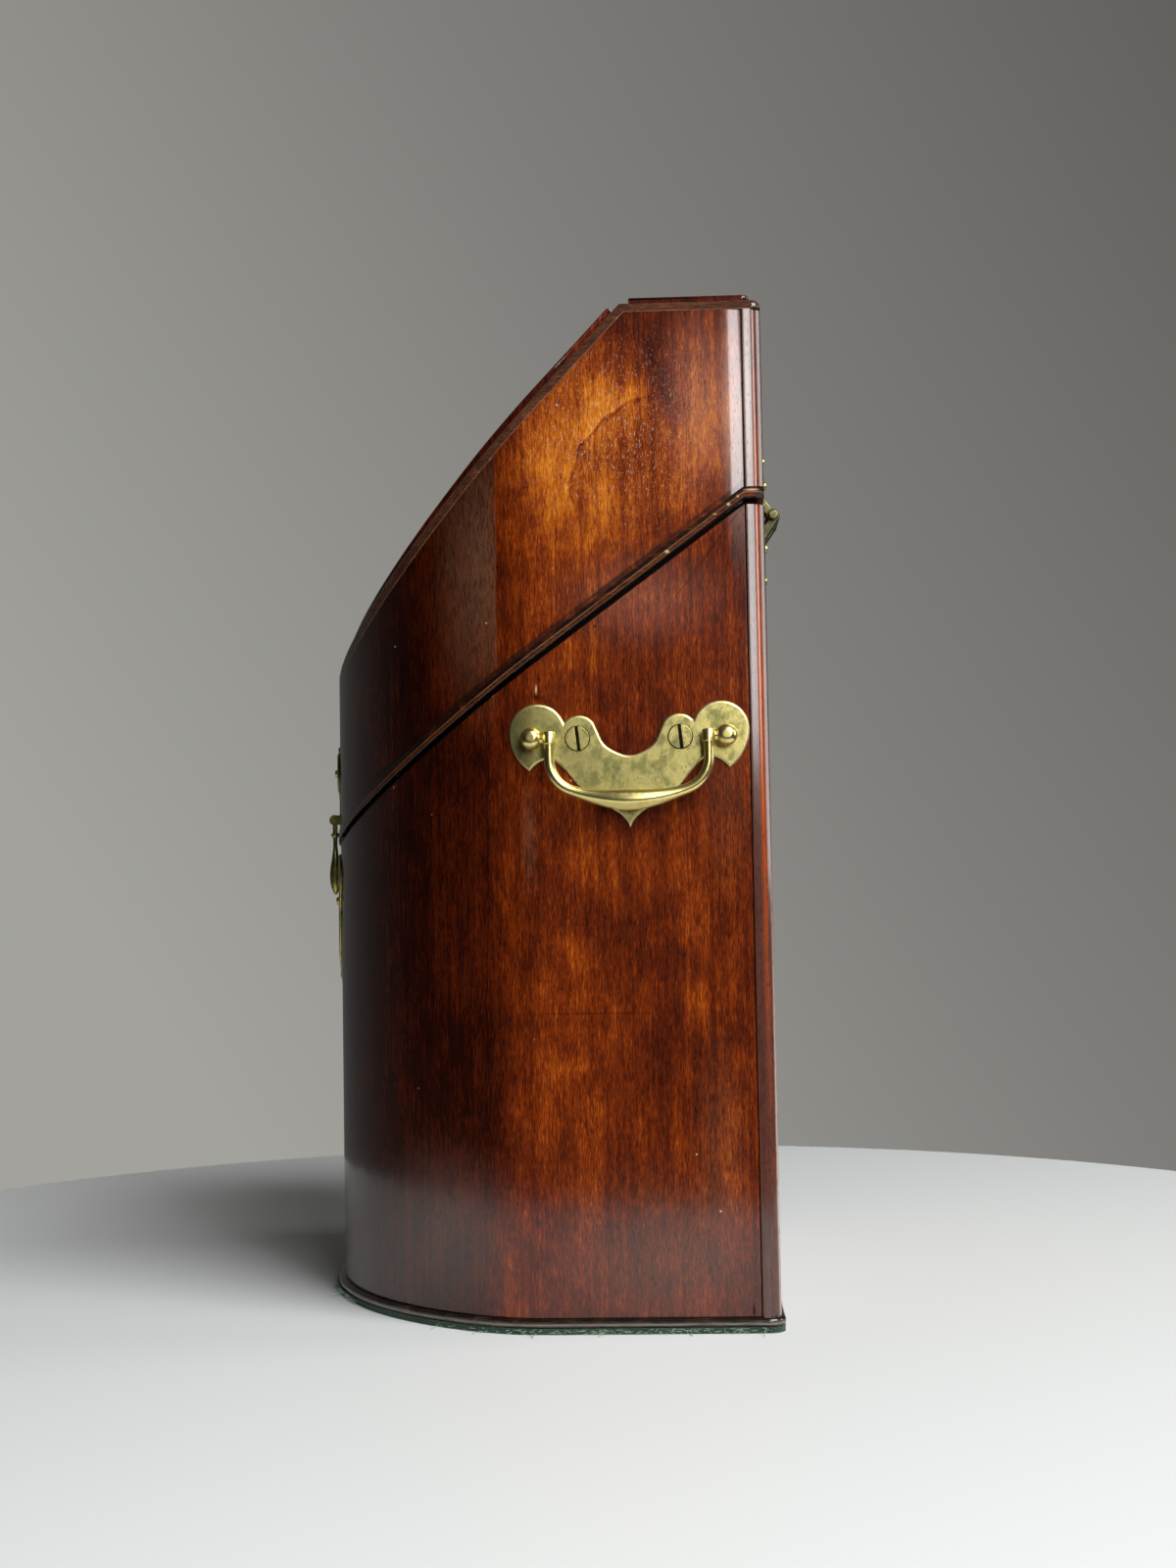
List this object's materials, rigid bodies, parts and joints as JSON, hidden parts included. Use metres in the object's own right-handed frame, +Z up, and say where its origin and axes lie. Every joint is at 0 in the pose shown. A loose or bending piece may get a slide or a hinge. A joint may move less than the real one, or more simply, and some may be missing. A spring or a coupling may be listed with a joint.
{
  "type": "antique knife box",
  "caption": "Bow-fronted mahogany knife box with a hinged sloping lid, raised lid panels, pierced cutlery rack, brass side bails, front lock and drop.",
  "frame": {"origin": "on the surface the box stands on, at the middle of the width and of the depth of the case", "axes": "+Z up, +Y to the back where the hinges are, +X to the right side of someone facing the bow"},
  "size_m": [0.242, 0.1857, 0.3733],
  "materials": {
    "mahogany": "French-polished figured mahogany veneer",
    "dark_mahogany": "dark polished mouldings and stringing",
    "plain_mahogany": "plain boards, thinly polished",
    "brass": "cast brass, aged and lightly tarnished",
    "lock_metal": "old filed steel",
    "baize": "worn green baize",
    "velvet": "dark red velvet"
  },
  "bodies": {
    "case": {"base_baize": "baize", "base_board": "dark_mahogany", "case_back": "plain_mahogany", "case_bow_front": "mahogany", "case_corner_beads": "dark_mahogany", "case_floor": "plain_mahogany", "case_side_left": "mahogany", "case_side_right": "mahogany", "handle_nuts_left": "brass", "handle_nuts_right": "brass", "handle_plate_left": "brass", "handle_plate_right": "brass", "handle_posts_left": "brass", "handle_posts_right": "brass", "handle_screws_left": "brass", "handle_screws_right": "brass", "hinge_leaves_case": "brass", "hinge_nails_case": "brass", "hinge_pins": "brass", "lock_cap_plate": "lock_metal", "lock_case": "lock_metal", "lock_key_pin": "lock_metal", "lock_plate": "brass", "lock_plate_nails": "brass", "lock_screws": "lock_metal", "rack_battens": "plain_mahogany", "rack_board_1": "mahogany", "rack_board_2": "mahogany", "rack_board_3": "mahogany", "rack_board_4": "mahogany", "rim_strip_back": "mahogany", "rim_strip_front": "mahogany", "rim_strip_left": "mahogany", "rim_strip_right": "mahogany"},
    "lid": {"drop_bracket": "brass", "drop_pin": "brass", "hinge_leaves_lid": "brass", "hinge_nails_lid": "brass", "lid_back": "plain_mahogany", "lid_bow_front": "mahogany", "lid_corner_beads": "dark_mahogany", "lid_edge_moulding": "dark_mahogany", "lid_lining": "velvet", "lid_lip_moulding": "dark_mahogany", "lid_plate": "brass", "lid_plate_nails": "brass", "lid_side_left": "mahogany", "lid_side_right": "mahogany", "lid_slope_board": "plain_mahogany", "lid_slope_panel": "mahogany", "lid_striker_plate": "lock_metal", "lid_top_board": "plain_mahogany", "lid_top_panel": "mahogany"},
    "right_bail": {"bail_right": "brass"},
    "left_bail": {"bail_left": "brass"},
    "front_drop": {"front_drop": "brass"},
    "lock_bolt": {"lock_bolt": "lock_metal"}
  },
  "joints": [
    {"name": "lid_hinge", "type": "hinge", "parent": "case", "child": "lid", "pos_m": [0, 0.0907, 0.2968], "axis": [-1, 0, 0], "range_deg": [0, 105]},
    {"name": "right_bail_pivot", "type": "hinge", "parent": "case", "child": "right_bail", "pos_m": [0.1171, 0.0355, 0.21139], "axis": [0, -1, 0], "range_deg": [0, 170]},
    {"name": "left_bail_pivot", "type": "hinge", "parent": "case", "child": "left_bail", "pos_m": [-0.1171, 0.0355, 0.21139], "axis": [0, 1, 0], "range_deg": [0, 170]},
    {"name": "front_drop_swing", "type": "hinge", "parent": "lid", "child": "front_drop", "pos_m": [0, -0.09, 0.18801], "axis": [-1, 0, 0], "range_deg": [0, 170]},
    {"name": "lock_bolt_slide", "type": "slide", "parent": "case", "child": "lock_bolt", "axis": [0, 0, 1], "range_m": [0, 0.006]}
  ]
}
